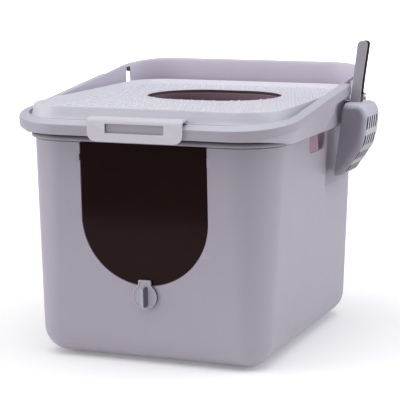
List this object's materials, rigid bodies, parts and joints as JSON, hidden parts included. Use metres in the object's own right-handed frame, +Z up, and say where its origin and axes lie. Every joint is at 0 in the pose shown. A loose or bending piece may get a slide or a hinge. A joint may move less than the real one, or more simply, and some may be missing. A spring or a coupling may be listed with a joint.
{
  "type": "top-entry cat litter box with hood",
  "caption": "Deep rounded litter tub with a rim frame, back guard, dotted opening lid with an entry hole, tinted front flap door with a turn lock, front latch and hung scoop.",
  "frame": {"origin": "on the floor under the middle of the tub", "axes": "+Z up, -Y to the front with the flap door and latch, +X to the side that carries the scoop"},
  "size_m": [0.4555, 0.4975, 0.444],
  "materials": {
    "shell": "fine satin moulded polypropylene",
    "foot": "matte",
    "rim": "fine satin moulded polypropylene",
    "guard": "fine satin moulded polypropylene",
    "fixing": "satin",
    "bush": "satin",
    "door": "polished smoke-brown tint",
    "knob": "satin",
    "steel": "brushed",
    "lid": "satin, dotted top",
    "latch": "satin",
    "scoop": "satin"
  },
  "bodies": {
    "litter_box": {"tub": "shell", "foot_front_left": "foot", "foot_front_right": "foot", "foot_rear_left": "foot", "foot_rear_right": "foot", "rim_frame": "rim", "back_guard": "guard", "guard_pegs": "fixing", "scoop_hook": "fixing", "door_bush_left": "bush", "door_bush_right": "bush"},
    "door": {"flap_door": "door"},
    "knob": {"lock_knob": "knob", "knob_sleeve": "knob", "knob_screw": "steel"},
    "lid": {"top_lid": "lid", "lid_pin_left": "lid", "lid_pin_right": "lid", "latch_pin": "steel"},
    "latch": {"front_latch": "latch"},
    "scoop": {"litter_scoop": "scoop"}
  },
  "joints": [
    {"name": "lid_hinge", "type": "hinge", "parent": "litter_box", "child": "lid", "pos_m": [0, 0.18, 0.348], "axis": [-1, 0, 0], "range_deg": [0, 90]},
    {"name": "latch_hinge", "type": "hinge", "parent": "lid", "child": "latch", "pos_m": [0, -0.2315, 0.3505], "axis": [-1, 0, 0], "range_deg": [0, 90]},
    {"name": "door_hinge", "type": "hinge", "parent": "litter_box", "child": "door", "pos_m": [0, -0.21778, 0.29419], "axis": [1, 0, 0], "range_deg": [0, 80]},
    {"name": "knob_turn", "type": "hinge", "parent": "litter_box", "child": "knob", "pos_m": [0, -0.21342, 0.101], "axis": [0, -0.999, -0.0443], "range_deg": [-90, 90]},
    {"name": "scoop_lift", "type": "slide", "parent": "litter_box", "child": "scoop", "axis": [0.5, 0, 0.866], "range_m": [0, 0.15]}
  ]
}
